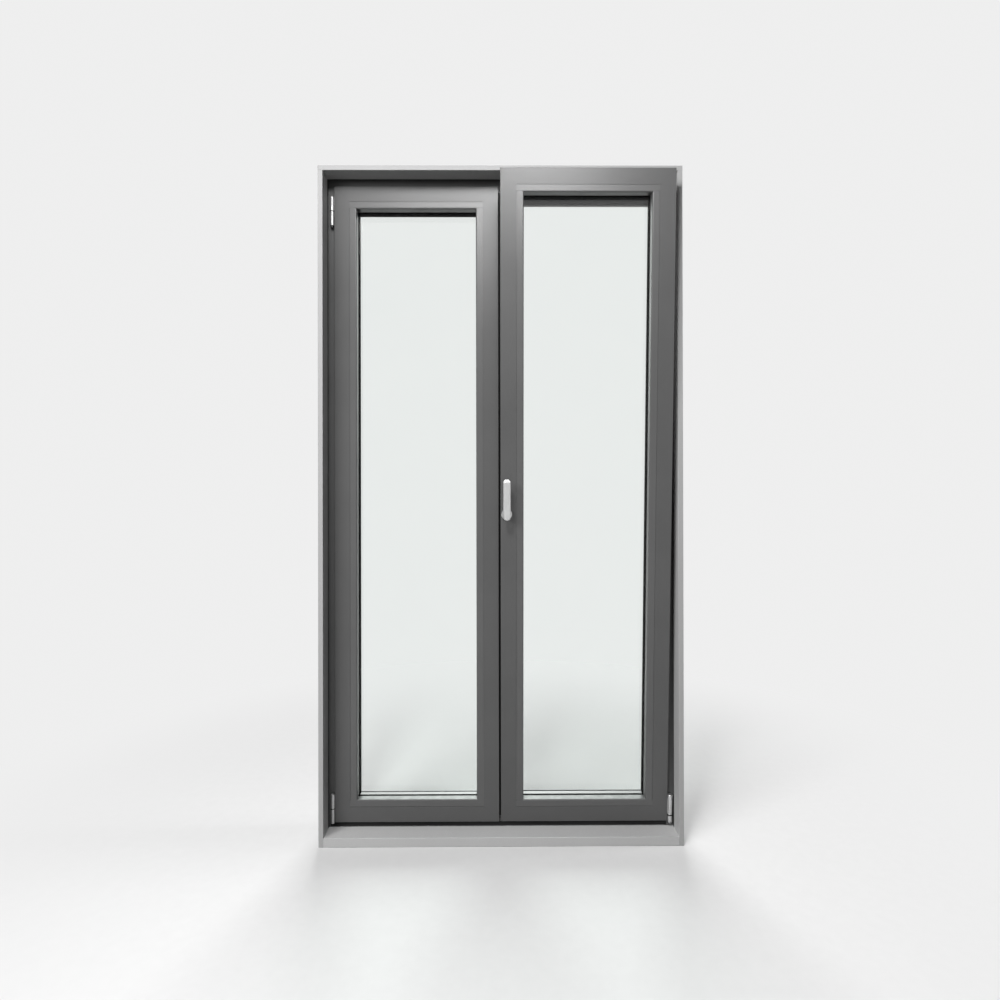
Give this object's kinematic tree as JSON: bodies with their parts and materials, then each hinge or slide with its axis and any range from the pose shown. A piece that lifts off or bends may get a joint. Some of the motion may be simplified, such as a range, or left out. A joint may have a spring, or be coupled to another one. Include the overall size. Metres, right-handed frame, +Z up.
{
  "type": "aluminium tilt and turn window",
  "caption": "Floor-height aluminium window in a lined reveal with a sill board: left leaf shut, right leaf tipped in at its top, lever handle pointing up, insulating glass.",
  "frame": {"origin": "middle of the frame's width and depth, on the underside of the base profile", "axes": "+X to the right as seen from the room, +Y outdoors, +Z up"},
  "size_m": [1.2, 0.2075, 2.238],
  "materials": {
    "coated_aluminium": "grey powder coat, matt",
    "glass": "clear float glass",
    "spacer_metal": "bright, perforated",
    "seal_rubber": "matt black",
    "insulating_bar": "matt black",
    "lining_board": "light grey laminate, fine linen texture",
    "handle_metal": "satin silver",
    "hinge_metal": "satin silver",
    "stay_steel": "zinc plated",
    "base_plastic": "matt black"
  },
  "bodies": {
    "root": {"base_profile": "base_plastic", "frame_gaskets": "seal_rubber", "frame_head": "coated_aluminium", "frame_left_jamb": "coated_aluminium", "frame_right_jamb": "coated_aluminium", "frame_sill": "coated_aluminium", "frame_thermal_breaks": "insulating_bar", "handle_lever": "handle_metal", "handle_rose": "handle_metal", "head_lining": "lining_board", "left_bottom_hinge": "hinge_metal", "left_lining": "lining_board", "left_sash_bottom_bead": "coated_aluminium", "left_sash_bottom_rail": "coated_aluminium", "left_sash_gaskets": "seal_rubber", "left_sash_hinge_stile": "coated_aluminium", "left_sash_inner_pane": "glass", "left_sash_left_bead": "coated_aluminium", "left_sash_meeting_stile": "coated_aluminium", "left_sash_outer_pane": "glass", "left_sash_right_bead": "coated_aluminium", "left_sash_spacer_bar": "spacer_metal", "left_sash_thermal_breaks": "insulating_bar", "left_sash_top_bead": "coated_aluminium", "left_sash_top_rail": "coated_aluminium", "left_top_hinge": "hinge_metal", "lock_keeps": "stay_steel", "lock_rod": "stay_steel", "meeting_mullion": "coated_aluminium", "mullion_end_caps": "base_plastic", "right_bottom_hinge": "hinge_metal", "right_lining": "lining_board", "right_sash_bottom_bead": "coated_aluminium", "right_sash_bottom_rail": "coated_aluminium", "right_sash_gaskets": "seal_rubber", "right_sash_hinge_stile": "coated_aluminium", "right_sash_inner_pane": "glass", "right_sash_left_bead": "coated_aluminium", "right_sash_meeting_stile": "coated_aluminium", "right_sash_outer_pane": "glass", "right_sash_right_bead": "coated_aluminium", "right_sash_spacer_bar": "spacer_metal", "right_sash_thermal_breaks": "insulating_bar", "right_sash_top_bead": "coated_aluminium", "right_sash_top_rail": "coated_aluminium", "sill_board": "lining_board", "stay_arm": "stay_steel", "stay_bearing": "hinge_metal"}
  },
  "joints": []
}
